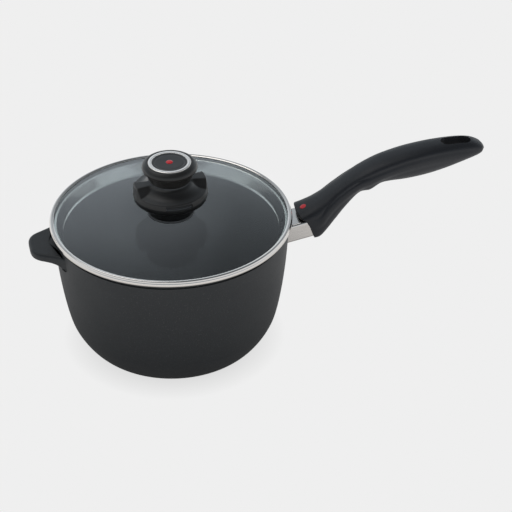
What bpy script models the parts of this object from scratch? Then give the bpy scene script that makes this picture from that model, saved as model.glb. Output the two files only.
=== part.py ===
"""A 20 cm cast saucepan with a long handle, a helper lug and a glass lid with a vented knob.

Frame: the origin is the centre of the flat base, +X runs along the handle, +Z is up.
Numbers are millimetres times MM, so every coordinate is in metres.
"""

from math import cos, pi, radians, sin

import bmesh
import bpy
import numpy as np
from mathutils import Matrix, Vector

MM = 0.001
GAP = 0.3  # play between touching pieces

# Pan
PAN_HEIGHT = 119.5
RIM_R = 102.4
BORE_R = 99.9
BASE_R = 70.0
FLOOR_Z = 6.0
LUG_TOP_Z = 112.4
LUG_THICK = 7.3
LUG_TIP = 124.4

# Handle: the sleeve's axis starts at SLEEVE_AT (x, z) and rises outwards
SLEEVE_AT = (104.8, 97.7)
SLEEVE_RISE = 10.0
SLEEVE_WIDE = 28.0
SLEEVE_TALL = 17.0
SLEEVE_WALL = 1.0
SLEEVE_END = 21.5
BOSS_END = 8.0
SCREW_R = 3.0
SCREW_SEAT = 27.6
SLOT_AT = 256.8
SLOT_LONG = 27.4
SLOT_WIDE = 12.4

# Lid
BAND_R = 105.4
BAND_SHEET = 0.6
BAND_LOW_Z = PAN_HEIGHT + GAP
SKIRT_LOW_Z = 108.5
GLASS_THICK = 3.6
GLASS_EDGE_Z = 120.8
GLASS_R = 104.4
CROWN_Z = 128.0
SEAT_R = 21.5

# Knob, in levels above the pan's base
COLUMN_R = 19.3
DISC_R = 31.8
DISC_LOW_Z = 143.0
DISC_TOP_Z = 148.0
DIAL_R = 32.6
DIAL_LOW_Z = DISC_TOP_Z + GAP
DIAL_TOP_Z = 160.0
DIAL_TURN = 4.0
HUB_R = 7.9
VENT_WIDE = 42.0
VENT_AT = 274.0
NECK_LOW_Z = 161.3
FLANGE_R = 24.0
FLANGE_Z = 173.5
KNOB_TOP_Z = 178.6
KNOB_SCREW_R = 2.5
BADGE_R = 3.0

ROUND = 48  # sides of the big turned pieces
KNOB_ROUND = 36
SMALL_ROUND = 20

FINISHES = {  # colour, roughness, metallic
    "cast_coating": ((0.028, 0.030, 0.032), 0.62, 0.0),
    "phenolic": ((0.025, 0.027, 0.031), 0.42, 0.0),
    "knob_phenolic": ((0.022, 0.022, 0.024), 0.35, 0.0),
    "steel": ((0.62, 0.61, 0.58), 0.22, 1.0),
    "zinc": ((0.55, 0.56, 0.58), 0.35, 1.0),
    "brass": ((0.70, 0.50, 0.20), 0.30, 1.0),
    "silicone": ((0.30, 0.31, 0.33), 0.55, 0.0),
    "lid_glass": ((0.80, 0.86, 0.86), 0.03, 0.0),
    "badge_red": ((0.52, 0.01, 0.02), 0.30, 0.0),
    "knob_disc": ((0.045, 0.046, 0.050), 0.45, 0.0),
}


def clear_scene():
    for old in list(bpy.data.objects):
        bpy.data.objects.remove(old, do_unlink=True)


def new_group(name, hidden=False):
    group = bpy.data.collections.new(name)
    group.hide_render = hidden
    bpy.context.scene.collection.children.link(group)
    return group


def finish(name):
    """The named material, made on first use."""
    if name in bpy.data.materials:
        return bpy.data.materials[name]
    colour, roughness, metallic = FINISHES[name]
    material = bpy.data.materials.new(name)
    material.use_nodes = True
    shader = material.node_tree.nodes["Principled BSDF"]
    shader.inputs["Base Color"].default_value = (*colour, 1.0)
    shader.inputs["Roughness"].default_value = roughness
    shader.inputs["Metallic"].default_value = metallic
    if name == "lid_glass":
        shader.inputs["Transmission Weight"].default_value = 1.0
    return material


def place(name, mesh, material):
    """Adds the mesh as a part, or as a hidden cutter when it has no material."""
    piece = bpy.data.objects.new(name, mesh)
    if material:
        PARTS.objects.link(piece)
        mesh.materials.append(finish(material))
    else:
        CUTTERS.objects.link(piece)
        piece.hide_render = True
        piece.display_type = "WIRE"
    return piece


def turned(name, outline, sides, material=None, closed=True):
    """A solid of revolution about Z. The outline (radius, z) runs down its outer side."""
    points = [(r * MM, 0.0, z * MM) for r, z in outline]
    edges = [(i, i + 1) for i in range(len(points) - 1)]
    if closed:
        edges.append((len(points) - 1, 0))
    mesh = bpy.data.meshes.new(name)
    mesh.from_pydata(points, edges, [])
    piece = place(name, mesh, material)
    screw = piece.modifiers.new("Turn", "SCREW")
    screw.steps = sides
    screw.render_steps = sides
    screw.use_merge_vertices = True
    screw.merge_threshold = 0.00001
    screw.use_smooth_shade = True
    return piece


def ring(name, inner, outer, low, high, sides, material=None):
    return turned(name, [(inner, high), (outer, high), (outer, low), (inner, low)], sides, material)


def plug(name, radius, low, high, sides, material=None):
    outline = [(0, high), (radius, high), (radius, low), (0, low)]
    return turned(name, outline, sides, material, closed=False)


def block(name, size, matrix, material=None, rounding=0.0, segments=3):
    """A box of the given size, in mm, with its four long edges (along local X) rounded."""
    mesh = bpy.data.meshes.new(name)
    shape = bmesh.new()
    bmesh.ops.create_cube(shape, size=1.0, matrix=Matrix.Diagonal((*[s * MM for s in size], 1.0)))
    if rounding:
        long_edges = [e for e in shape.edges if abs(e.verts[0].co.x - e.verts[1].co.x) > 1e-9]
        bmesh.ops.bevel(
            shape,
            geom=long_edges,
            offset=rounding * MM,
            segments=segments,
            profile=0.5,
            affect="EDGES",
        )
    shape.to_mesh(mesh)
    shape.free()
    piece = place(name, mesh, material)
    piece.matrix_world = matrix
    return piece


def slab(name, outline, low, high, material=None):
    """A flat outline (x, y) filled and extruded between two levels, made a mesh."""
    curve = bpy.data.curves.new(name, "CURVE")
    curve.dimensions = "2D"
    curve.fill_mode = "BOTH"
    curve.extrude = (high - low) / 2 * MM
    spline = curve.splines.new("POLY")
    spline.points.add(len(outline) - 1)
    for point, (x, y) in zip(spline.points, outline):
        point.co = (x * MM, y * MM, 0.0, 1.0)
    spline.use_cyclic_u = True
    guide = bpy.data.objects.new(name + "_curve", curve)
    CUTTERS.objects.link(guide)
    bpy.context.view_layer.update()
    graph = bpy.context.evaluated_depsgraph_get()
    mesh = bpy.data.meshes.new_from_object(guide.evaluated_get(graph))
    bpy.data.objects.remove(guide)
    shape = bmesh.new()
    shape.from_mesh(mesh)
    bmesh.ops.remove_doubles(shape, verts=shape.verts, dist=0.00001)
    bmesh.ops.dissolve_limit(shape, angle_limit=radians(1), verts=shape.verts, edges=shape.edges)
    bmesh.ops.recalc_face_normals(shape, faces=shape.faces)
    shape.to_mesh(mesh)
    shape.free()
    piece = place(name, mesh, material)
    piece.location.z = (low + high) / 2 * MM
    return piece


def combine(piece, other, operation):
    """Cuts the other shape from the piece, or joins it on, and files the other as a cutter."""
    step = piece.modifiers.new(other.name, "BOOLEAN")
    step.operation = operation
    step.solver = "EXACT"
    step.object = other


def cut(piece, other):
    combine(piece, other, "DIFFERENCE")


def join(piece, other):
    combine(piece, other, "UNION")


def soften(piece, width, segments=2, angle=40):
    bevel = piece.modifiers.new("Soften", "BEVEL")
    bevel.width = width * MM
    bevel.segments = segments
    bevel.limit_method = "ANGLE"
    bevel.angle_limit = radians(angle)
    return bevel


def bezier(start, pull, push, end, count):
    """Points on a cubic Bezier, without its first one."""
    t = np.linspace(0, 1, count + 1)[1:, None]
    start, pull, push, end = (np.array(p, float) for p in (start, pull, push, end))
    curve = (1 - t) ** 3 * start + 3 * (1 - t) ** 2 * t * pull
    curve = curve + 3 * (1 - t) * t**2 * push + t**3 * end
    return [tuple(p) for p in curve.tolist()]


def smooth_columns(rows, count):
    """Rows of numbers resampled at equal steps of a smooth curve through them (Catmull-Rom)."""
    rows = np.array(rows, float)
    held = np.vstack([2 * rows[0] - rows[1], rows, 2 * rows[-1] - rows[-2]])
    places = np.linspace(0, len(rows) - 1, count)
    i = np.minimum(places.astype(int), len(rows) - 2)
    t = (places - i)[:, None]
    a, b, c, d = (held[i + k] for k in range(4))
    return 0.5 * (2 * b + (c - a) * t + (2 * a - 5 * b + 4 * c - d) * t**2 + (3 * b - a - 3 * c + d) * t**3)


def shade(piece, angle=35):
    piece.data.shade_smooth()
    piece.data.set_sharp_from_angle(angle=radians(angle))


def handle_frame(along):
    """The matrix whose +X runs along the sleeve, the given distance from its start."""
    x, z = SLEEVE_AT
    turn = Matrix.Rotation(-radians(SLEEVE_RISE), 4, "Y")
    start = Matrix.Translation((x * MM, 0, z * MM))
    return start @ turn @ Matrix.Translation((along * MM, 0, 0))


def handle_rod(name, outline, material=None, sides=SMALL_ROUND, closed=True):
    """A piece turned about the sleeve's axis; z in the outline is the distance along it."""
    piece = turned(name, outline, sides, material, closed)
    piece.matrix_world = handle_frame(0) @ Matrix.Rotation(pi / 2, 4, "Y")
    return piece


# ---------------------------------------------------------------- pan


def pan_outside(grow=0.0):
    """The outline of the pan's outer side, from the rim down, grown outwards."""
    side = bezier((91, 27), (94.5, 36), (101.5, 76), (RIM_R, PAN_HEIGHT - 0.8), 7)
    foot = bezier((BASE_R, 0), (76, 1), (86, 14), (91, 27), 6)
    outline = [(BASE_R, 0)] + foot + side
    return [(r + grow, z) for r, z in reversed(outline)]


def pan_inside():
    """The outline of the hollow, from above the rim down to the floor."""
    wall = bezier((86.6, 29), (90.5, 40), (98.6, 78), (99.6, 108), 6)
    corner = bezier((64, FLOOR_Z), (72, FLOOR_Z + 0.5), (81.5, 16), (86.6, 29), 6)
    low_part = [(64, FLOOR_Z)] + corner + wall
    lip = [(0, 130), (BORE_R + 0.6, 130), (BORE_R + 0.6, PAN_HEIGHT), (BORE_R, PAN_HEIGHT - 0.8)]
    return lip + low_part[::-1] + [(0, FLOOR_Z)]


def lug_outline():
    """Half widths along the lug, mirrored: flared at the wall, round at its two corners."""
    tip = LUG_TIP
    half = [(-96, 30), (-104, 26.2), (-116, 19.3)]
    half += bezier((-116, 19.3), (-120.4, 16.8), (-123.2, 12.5), (-tip + 0.6, 6.5), 5)
    half.append((-tip, 0))
    return half + [(x, -y) for x, y in half[-2::-1]]


def make_pan():
    outline = [(0, PAN_HEIGHT), (RIM_R - 0.8, PAN_HEIGHT)] + pan_outside() + [(0, 0)]
    pan = turned("pan_body", outline, ROUND, "cast_coating", closed=False)
    lug = slab("lug_cast", lug_outline(), LUG_TOP_Z - LUG_THICK, LUG_TOP_Z)
    soften(lug, 1.5)
    join(pan, lug)
    inner_wide = SLEEVE_WIDE - 2 * (SLEEVE_WALL + GAP)
    inner_tall = SLEEVE_TALL - 2 * (SLEEVE_WALL + GAP)
    boss_long = BOSS_END + 10
    centre = handle_frame(BOSS_END - boss_long / 2)
    join(pan, block("boss_cast", (boss_long, inner_wide, inner_tall), centre, None, 2.4, 2))
    cut(pan, turned("pan_hollow", pan_inside(), ROUND, closed=False))
    bore = [(0, BOSS_END + 2), (4.5, BOSS_END + 2), (4.5, -0.6), (0, -0.6)]
    cut(pan, handle_rod("boss_bore", bore, closed=False))
    insert = [(SCREW_R + GAP, BOSS_END - 0.2), (4.2, BOSS_END - 0.2), (4.2, -0.2), (SCREW_R + GAP, -0.2)]
    handle_rod("boss_thread_insert", insert, "zinc")


# ---------------------------------------------------------------- handle


GRIP_STATIONS = (  # top x, z, bottom x, z, half width, rise of the crown, squareness of the belly
    (112.3, 114.2, 127.2, 89.8, 16.2, 7.0, 6.0),
    (120.2, 117.3, 131.8, 90.4, 16.2, 9.0, 5.0),
    (128.4, 121.3, 137.8, 95.0, 15.8, 10.0, 3.6),
    (138.0, 127.3, 146.6, 104.4, 14.7, 7.5, 2.8),
    (149.4, 135.3, 157.0, 116.8, 13.7, 5.8, 2.5),
    (163.4, 144.9, 167.6, 127.5, 13.2, 5.4, 2.4),
    (174.6, 151.0, 177.8, 128.4, 13.2, 5.2, 2.4),
    (185.6, 155.6, 186.8, 133.9, 13.4, 5.2, 2.4),
    (197.0, 158.9, 195.6, 135.0, 13.6, 5.2, 2.4),
    (212.0, 162.3, 209.6, 134.9, 13.6, 5.4, 2.4),
    (230.0, 165.0, 227.4, 136.6, 13.2, 6.0, 2.4),
    (246.0, 166.2, 244.6, 140.5, 12.7, 6.4, 2.5),
    (260.0, 166.4, 260.0, 145.5, 11.9, 6.4, 2.6),
    (271.0, 165.2, 271.8, 149.8, 10.0, 5.4, 2.6),
    (278.4, 162.0, 279.4, 153.4, 6.6, 3.4, 2.4),
    (282.0, 159.0, 282.4, 155.4, 2.8, 1.6, 2.2),
)
GRIP_RINGS = 27
GRIP_SIDES = 22


def grip_section(row):
    """One closed section: a flat-topped half over a rounder belly, in the station's own plane."""
    top = Vector((row[0], 0, row[1]))
    low = Vector((row[2], 0, row[3]))
    half, crown, belly = row[4:7]
    tall = (top - low).length
    up = (top - low) / tall
    waist = tall - crown
    points = []
    for k in range(GRIP_SIDES):
        turn = 2 * pi * (k + 0.5) / GRIP_SIDES
        power = 2 / 3.4 if sin(turn) > 0 else 2 / belly
        reach = crown if sin(turn) > 0 else waist
        side = half * abs(cos(turn)) ** power * (1 if cos(turn) > 0 else -1)
        height = waist + reach * abs(sin(turn)) ** power * (1 if sin(turn) > 0 else -1)
        points.append((low + up * height + Vector((0, side, 0))) * MM)
    return points


def make_grip():
    """The grip is lofted through its stations, then drilled for the sleeve, screw, slot and badge."""
    rings = [grip_section(row) for row in smooth_columns(GRIP_STATIONS, GRIP_RINGS)]
    points = [p for section in rings for p in section]
    n = GRIP_SIDES
    faces = []
    for i in range(GRIP_RINGS - 1):
        for k in range(n):
            a, b = i * n + k, i * n + (k + 1) % n
            faces.append((a, a + n, b + n, b))
    faces.append(tuple(range(n)))
    faces.append(tuple(reversed(range((GRIP_RINGS - 1) * n, GRIP_RINGS * n))))
    mesh = bpy.data.meshes.new("handle_grip")
    mesh.from_pydata(points, [], faces)
    grip = place("handle_grip", mesh, "phenolic")
    shade(grip)

    depth = SLEEVE_END + GAP
    size = (depth, SLEEVE_WIDE + 2 * GAP, SLEEVE_TALL + 2 * GAP)
    cut(grip, block("grip_socket", size, handle_frame(depth / 2), None, 2.6, 2))
    clear = SCREW_R + 0.4
    head = 5.6
    bore = [(0, 62), (head, 62), (head, SCREW_SEAT), (clear, SCREW_SEAT), (clear, 18), (0, 18)]
    cut(grip, handle_rod("grip_bore", bore, closed=False))
    cut(grip, hang_slot())
    recess = plug("badge_recess", BADGE_R + GAP, -1.0, 4.0, SMALL_ROUND)
    recess.matrix_world = badge_frame()
    cut(grip, recess)


def hang_slot():
    """A long slot with round ends, straight down through the grip's end."""
    end = SLOT_WIDE / 2
    straight = SLOT_LONG / 2 - end
    outline = []
    for k in range(18):
        turn = pi / 2 - 2 * pi * (k + 0.5) / 18
        side = straight if cos(turn) > 0 else -straight
        outline.append((SLOT_AT + side + end * cos(turn), end * sin(turn)))
    return slab("hang_slot", outline, 130, 180)


def badge_frame():
    """Where the badge lies on the grip's crown, turned to its slope."""
    at = Matrix.Translation((118.4 * MM, 0, 116.3 * MM))
    return at @ Matrix.Rotation(-radians(22), 4, "Y")


def make_sleeve():
    """The steel sleeve: a rounded box tube, shaped to the pan's wall at one end."""
    back = 12
    long = SLEEVE_END + back
    centre = handle_frame((SLEEVE_END - back) / 2)
    sleeve = block("handle_sleeve", (long, SLEEVE_WIDE, SLEEVE_TALL), centre, "steel", 2.4, 3)
    inner = (long + 10, SLEEVE_WIDE - 2 * SLEEVE_WALL, SLEEVE_TALL - 2 * SLEEVE_WALL)
    cut(sleeve, block("sleeve_hollow", inner, centre, None, 1.6, 2))
    wall = [(0, PAN_HEIGHT)] + pan_outside(GAP + 0.1) + [(0, 0)]
    cut(sleeve, turned("sleeve_wall", wall, ROUND, closed=False))


def make_handle_fixings():
    seat = SCREW_SEAT + GAP
    washer = [(SCREW_R + GAP, seat + 1.0), (5.2, seat + 1.0), (5.2, seat), (SCREW_R + GAP, seat)]
    handle_rod("handle_lock_washer", washer, "zinc")
    head = seat + 1.0 + GAP
    shank = [(0, head + 5), (4.6, head + 5), (5.0, head + 4.6), (5.0, head), (SCREW_R, head)]
    shank += [(SCREW_R, 1.4), (SCREW_R - 0.9, 0.4), (0, 0.4)]
    screw = handle_rod("handle_screw", shank, "zinc", closed=False)
    key = [(0, head + 6), (2.4, head + 6), (2.4, head + 2), (0, head + 2)]
    cut(screw, handle_rod("handle_screw_key", key, sides=6, closed=False))
    badge = turned(
        "handle_badge",
        [(0, 0.45), (BADGE_R - 0.5, 0.3), (BADGE_R, 0.0), (BADGE_R, -0.7), (0, -0.7)],
        SMALL_ROUND,
        "badge_red",
        closed=False,
    )
    badge.matrix_world = badge_frame()


# ---------------------------------------------------------------- lid


def glass_top(radius):
    """The height of the glass's upper face: a low dome, level where the knob sits."""
    rise = CROWN_Z - GLASS_EDGE_Z - GLASS_THICK
    edge = 101.5
    if radius >= edge:
        return CROWN_Z - rise
    return CROWN_Z - rise * (max(radius - SEAT_R, 0) / (edge - SEAT_R)) ** 2.2


def make_glass():
    radii = [SEAT_R, 40, 58, 74, 88, 96, 101.5]
    top = [(3.4, CROWN_Z)] + [(r, glass_top(r)) for r in radii]
    rim = [(GLASS_R - 0.6, GLASS_EDGE_Z + GLASS_THICK), (GLASS_R, GLASS_EDGE_Z + GLASS_THICK - 0.6)]
    rim += [(GLASS_R, GLASS_EDGE_Z + 0.6), (GLASS_R - 0.6, GLASS_EDGE_Z)]
    under = [(r, z - GLASS_THICK) for r, z in reversed(top)]
    glass = turned("lid_glass", top + rim + under, ROUND, "lid_glass")
    for k in range(3):
        hole = plug(f"steam_hole_{k + 1}", 2.0, CROWN_Z - 10, CROWN_Z + 5, 14)
        turn = radians(120 * k + 30)
        hole.location = (12.4 * cos(turn) * MM, 12.4 * sin(turn) * MM, 0)
        cut(glass, hole)


def make_band():
    """The rolled steel band: over the glass's edge, down, under it, and down inside the pan."""
    low = BAND_LOW_Z + BAND_SHEET / 2
    high = GLASS_EDGE_Z + GLASS_THICK + GAP + BAND_SHEET / 2
    out = BAND_R - BAND_SHEET / 2
    path = [(out - 2.6, high - 0.1), (out - 1.1, high + 0.1), (out - 0.25, high - 0.6)]
    path += [(out, high - 1.4), (out - 0.2, high - 2.3), (out, low + 0.9), (out - 0.7, low)]
    path += [(BORE_R - 0.5, low), (BORE_R - 1.0, low - 0.7), (BORE_R - 1.7, SKIRT_LOW_Z)]
    band = turned("lid_band", path, ROUND, "steel", closed=False)
    sheet = band.modifiers.new("Sheet", "SOLIDIFY")
    sheet.thickness = BAND_SHEET * MM
    sheet.offset = 0.0
    sheet.use_even_offset = True


def make_vent_base():
    """The knob's column and disc: steam rises inside it and leaves through its two ports."""
    low = CROWN_Z + 1.6
    wall = 2.4
    outline = [(KNOB_SCREW_R + 0.5, NECK_LOW_Z - 0.6), (HUB_R, NECK_LOW_Z - 0.6), (HUB_R, DISC_TOP_Z)]
    outline += [(26.4, DISC_TOP_Z), (26.4, DISC_TOP_Z + 2.2), (28.6, DISC_TOP_Z + 2.2), (28.6, DISC_TOP_Z)]
    outline += [(DISC_R, DISC_TOP_Z), (DISC_R, DISC_LOW_Z + 1.2), (DISC_R - 1.2, DISC_LOW_Z)]
    outline += [(COLUMN_R + 1.4, DISC_LOW_Z - 0.6), (COLUMN_R, DISC_LOW_Z - 2), (COLUMN_R, low)]
    outline += [(COLUMN_R - wall, low), (COLUMN_R - wall, DISC_TOP_Z - wall), (8.2, DISC_TOP_Z - wall)]
    outline += [(8.2, low), (KNOB_SCREW_R + 0.5, low)]
    base = turned("vent_base", outline, KNOB_ROUND, "knob_phenolic")
    for k in range(6):
        hole = plug(f"riser_{k + 1}", 2.3, DISC_TOP_Z - 6, DISC_TOP_Z + 1, 12)
        turn = radians(60 * k)
        hole.location = (12.4 * cos(turn) * MM, 12.4 * sin(turn) * MM, 0)
        cut(base, hole)
    for k in range(2):
        cut(base, port(f"base_port_{k + 1}", VENT_AT + 180 * k, 27.5, DISC_TOP_Z + GAP / 2, 4))
    stop_width = 3.0
    stop = block("turn_stop", (3.0, stop_width, 3.2), spoke(22.0, DISC_TOP_Z + 1.0, DIAL_TURN + 40))
    join(base, stop)


def spoke(radius, z, degrees):
    """The matrix at a radius and angle about the knob's axis, with +X pointing outwards."""
    turn = Matrix.Rotation(radians(degrees), 4, "Z")
    return turn @ Matrix.Translation((radius * MM, 0, z * MM))


def port(name, degrees, radius, low, tall):
    """A cutter for a window VENT_WIDE degrees across in a ring wall."""
    width = 2 * radius * sin(radians(VENT_WIDE / 2))
    return block(name, (12, width, tall), spoke(radius, low + tall / 2, degrees))


def ear(name, degrees):
    """A raised finger tab on the dial: a level top that slopes to the bell on both sides."""
    inner, outer = 17.0, DIAL_R - 0.5
    points = []
    turns = (-23, -12, 0, 12, 23)
    lifts = (0.0, 1.0, 1.0, 1.0, 0.0)
    for turn, lift in zip(turns, lifts):
        tops = (158.9 + lift * 1.1, 151.7 + lift * 8.2)
        for r, z in ((inner, 157.9), (outer, 150.3), (outer, tops[1]), (inner, tops[0])):
            a = radians(degrees + turn)
            points.append((r * cos(a) * MM, r * sin(a) * MM, z * MM))
    faces = [(3, 2, 1, 0), tuple(range(len(points) - 4, len(points)))]
    for i in range(len(turns) - 1):
        for k in range(4):
            a, b = 4 * i + k, 4 * i + (k + 1) % 4
            faces.append((a, b, b + 4, a + 4))
    mesh = bpy.data.meshes.new(name)
    mesh.from_pydata(points, [], faces)
    return place(name, mesh, None)


def make_vent_dial():
    """The turning bell: its skirt's two windows uncover or close the base's ports."""
    bell = [(18.6, DIAL_TOP_Z - 0.5), (21.5, 157.3), (25.5, 154.9), (29.5, 153.1), (31.7, 152.7)]
    under = [(30.3, 150.4), (26.0, 152.5), (22.0, 154.9), (18.6, 157.4), (HUB_R + 0.4, 157.6)]
    outline = [(HUB_R + 0.4, DIAL_TOP_Z), (17.6, DIAL_TOP_Z)] + bell
    outline += [(DIAL_R, 152.0), (DIAL_R, DIAL_LOW_Z), (30.3, DIAL_LOW_Z)] + under
    dial = turned("vent_dial", outline, KNOB_ROUND + 4, "knob_phenolic")
    for k in range(2):
        join(dial, ear(f"dial_ear_{k + 1}", DIAL_TURN + 180 * k))
    for k in range(2):
        cut(dial, port(f"dial_window_{k + 1}", VENT_AT + 180 * k, 31.5, DIAL_LOW_Z - 2, 4.8))
    for name, degrees in (("dial_stop_near", 50.4), ("dial_stop_far", -30.4)):
        join(dial, block(name, (3.0, 2.4, 7.0), spoke(22.0, 152.4, DIAL_TURN + degrees)))


def wavy_ring(name, inner, outer, low, thick, wave, material):
    """A spring washer: a flat ring whose height rises and falls three times round."""
    count = 48
    points = []
    for k in range(count):
        a = 2 * pi * k / count
        lift = low + wave * (1 - cos(3 * a))
        for r, z in ((inner, lift), (outer, lift), (outer, lift + thick), (inner, lift + thick)):
            points.append((r * cos(a) * MM, r * sin(a) * MM, z * MM))
    faces = []
    for i in range(count):
        for k in range(4):
            a, b = 4 * i + k, 4 * i + (k + 1) % 4
            j = (4 * (i + 1)) % (4 * count) - 4 * i
            faces.append((a + j, b + j, b, a))
    mesh = bpy.data.meshes.new(name)
    mesh.from_pydata(points, [], faces)
    place(name, mesh, material)


def make_knob():
    """The grip on top, its trim, and the screw stack that clamps everything to the glass."""
    flange = [(19.2, 178.3), (21.4, 177.4), (23.2, 175.7), (FLANGE_R, FLANGE_Z), (23.6, 172.0)]
    flange += [(22.6, 170.9), (21.3, 170.5), (20.9, 169.9)]
    neck = [(20.3, 168.2), (18.4, 162.3), (17.9, 161.6), (17.2, NECK_LOW_Z)]
    outline = [(0, 177.0), (18.5, 177.0), (18.5, 178.0)] + flange + neck
    outline += [(4.2, NECK_LOW_Z), (4.2, 174.4), (0, 174.4)]
    turned("knob_body", outline, KNOB_ROUND, "knob_phenolic", closed=False)
    ring("knob_thread_insert", KNOB_SCREW_R + GAP, 3.9, NECK_LOW_Z + 0.3, 174.0, SMALL_ROUND, "brass")
    trim = [(15.75, 178.3), (16.1, KNOB_TOP_Z), (17.8, KNOB_TOP_Z), (18.2, 178.2), (18.2, 177.3), (15.75, 177.3)]
    turned("knob_trim_ring", trim, KNOB_ROUND, "steel")
    dish = [(0, 177.8), (BADGE_R + GAP, 177.8), (BADGE_R + GAP, 178.2), (15.1, 178.2), (15.4, 177.9)]
    turned("knob_disc", dish + [(15.4, 177.3), (0, 177.3)], KNOB_ROUND, "knob_disc", closed=False)
    dot = [(0, 178.6), (BADGE_R - 0.4, 178.5), (BADGE_R, 178.2), (BADGE_R, 178.1), (0, 178.1)]
    turned("knob_badge", dot, SMALL_ROUND, "badge_red", closed=False)
    wavy_ring("dial_wave_washer", 9.0, 12.6, DIAL_TOP_Z + 0.3, 0.3, 0.16, "zinc")
    ring("base_gasket", 17.2, 20.4, CROWN_Z + 0.3, CROWN_Z + 1.3, KNOB_ROUND, "silicone")


def make_lid_fixings():
    under = CROWN_Z - GLASS_THICK
    bore = KNOB_SCREW_R + 0.5
    ring("glass_washer", bore, 8.6, under - 1.4, under - 0.3, SMALL_ROUND, "silicone")
    ring("steel_washer", bore, 8.0, under - 2.7, under - 1.7, SMALL_ROUND, "zinc")
    head = under - 3.0
    outline = [(0, 171), (KNOB_SCREW_R - 0.7, 171), (KNOB_SCREW_R, 170.2), (KNOB_SCREW_R, head)]
    outline += [(4.8, head), (4.8, head - 1.2), (3.6, head - 2.6), (0, head - 3.0)]
    screw = turned("knob_screw", outline, SMALL_ROUND, "zinc", closed=False)
    for k in range(2):
        bar = block(f"cross_recess_{k + 1}", (5.0, 1.1, 3.4), spoke(0, head - 3.2, 90 * k))
        cut(screw, bar)


clear_scene()
PARTS = new_group("saucepan_with_lid")
CUTTERS = new_group("cutters", hidden=True)
make_pan()
make_sleeve()
make_grip()
make_handle_fixings()
make_glass()
make_band()
make_vent_base()
make_vent_dial()
make_knob()
make_lid_fixings()
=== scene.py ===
"""A 20 cm cast saucepan with a moulded handle, a helper lug and a glass lid with a vented knob.

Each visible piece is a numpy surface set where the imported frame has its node. Tables of sizes
are in millimetres; MM turns them into metres. +X runs along the handle and +Z is up.
"""

from math import cos, pi, radians, sin

import bpy
import numpy as np
from mathutils import Matrix, Vector


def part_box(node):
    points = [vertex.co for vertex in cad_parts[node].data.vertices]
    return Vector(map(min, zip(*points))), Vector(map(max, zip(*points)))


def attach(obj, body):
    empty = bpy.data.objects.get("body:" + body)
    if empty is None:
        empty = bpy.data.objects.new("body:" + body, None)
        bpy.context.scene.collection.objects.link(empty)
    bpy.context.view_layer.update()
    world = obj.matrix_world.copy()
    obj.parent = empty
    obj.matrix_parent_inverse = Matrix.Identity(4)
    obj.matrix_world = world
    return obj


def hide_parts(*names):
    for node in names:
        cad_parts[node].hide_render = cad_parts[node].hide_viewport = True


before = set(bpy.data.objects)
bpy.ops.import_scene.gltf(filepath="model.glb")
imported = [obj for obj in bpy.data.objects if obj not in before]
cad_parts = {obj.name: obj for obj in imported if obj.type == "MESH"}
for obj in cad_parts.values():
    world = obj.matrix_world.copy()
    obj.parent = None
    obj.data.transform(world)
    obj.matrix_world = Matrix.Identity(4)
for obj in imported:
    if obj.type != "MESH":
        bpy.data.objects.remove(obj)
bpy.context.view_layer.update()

MM = 0.001
TURNS = 240  # sides of the big turned pieces
KNOB_TURNS = 180
SMALL_TURNS = 64
FINE_STEP = 1.6  # longest straight step of an outline, so that shading stays even
SLEEVE_ROUND = 1.9  # rounding of the sleeve's four edges
RISE = radians(10)  # the handle's axis climbs by this much from the pan


def top_of(node):
    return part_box(node)[1] / MM


def bottom_of(node):
    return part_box(node)[0] / MM


RIM_Z = top_of("pan_body").z
BAND_TOP_Z = top_of("lid_band").z
BAND_OUT_R = top_of("lid_band").y
GLASS_TOP_Z = top_of("lid_glass").z
GLASS_OUT_R = top_of("lid_glass").y
KNOB_Z = top_of("knob_body").z
SKIRT_Z = bottom_of("lid_band").z

# The glass is level out to the knob's seat, then falls towards its edge
GLASS_THICK = 3.6
GLASS_FALL, FALL_POWER, FALL_REACH = 3.6, 2.2, 80.0
SEAT_R = 21.5


# ---------------------------------------------------------------- outlines


def bezier(start, pull, push, end, count=24):
    """Cubic Bezier without its start: (1-t)^3 start + 3(1-t)^2 t pull + 3(1-t) t^2 push
    + t^3 end."""
    t = np.linspace(0, 1, count + 1)[1:, None]
    a, b, c, d = (np.array(p, float) for p in (start, pull, push, end))
    return (1 - t) ** 3 * a + 3 * (1 - t) ** 2 * t * b + 3 * (1 - t) * t**2 * c + t**3 * d


def stepped(line, longest=FINE_STEP):
    """The line with points added on its long stretches: start + (end - start) k / n."""
    made = [line[:1]]
    for start, end in zip(line[:-1], line[1:]):
        n = max(1, int(np.ceil(np.linalg.norm(end - start) / longest)))
        made.append(start + (end - start) * (np.arange(1, n + 1) / n)[:, None])
    return np.vstack(made)


def rounded(corners, closed=False, steps=6):
    """A line through (radius, z, rounding) corners. Each corner becomes the quadratic curve that
    leaves one side and joins the other at the rounding's distance from the corner."""
    corners = np.array(corners, float)
    at, size = corners[:, :2], corners[:, 2]
    count = len(at)
    made = []
    for i in range(count):
        if size[i] == 0 or (not closed and i in (0, count - 1)):
            made.append(at[i][None])
            continue
        before, after = at[i - 1] - at[i], at[(i + 1) % count] - at[i]
        reach = min(size[i], 0.48 * np.linalg.norm(before), 0.48 * np.linalg.norm(after))
        start = at[i] + before / np.linalg.norm(before) * reach
        end = at[i] + after / np.linalg.norm(after) * reach
        t = np.linspace(0, 1, steps)[:, None]
        made.append((1 - t) ** 2 * start + 2 * (1 - t) * t * at[i] + t**2 * end)
    line = np.vstack(made)
    if closed:
        return stepped(np.vstack([line, line[:1]]))[:-1]
    return stepped(line)


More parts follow.
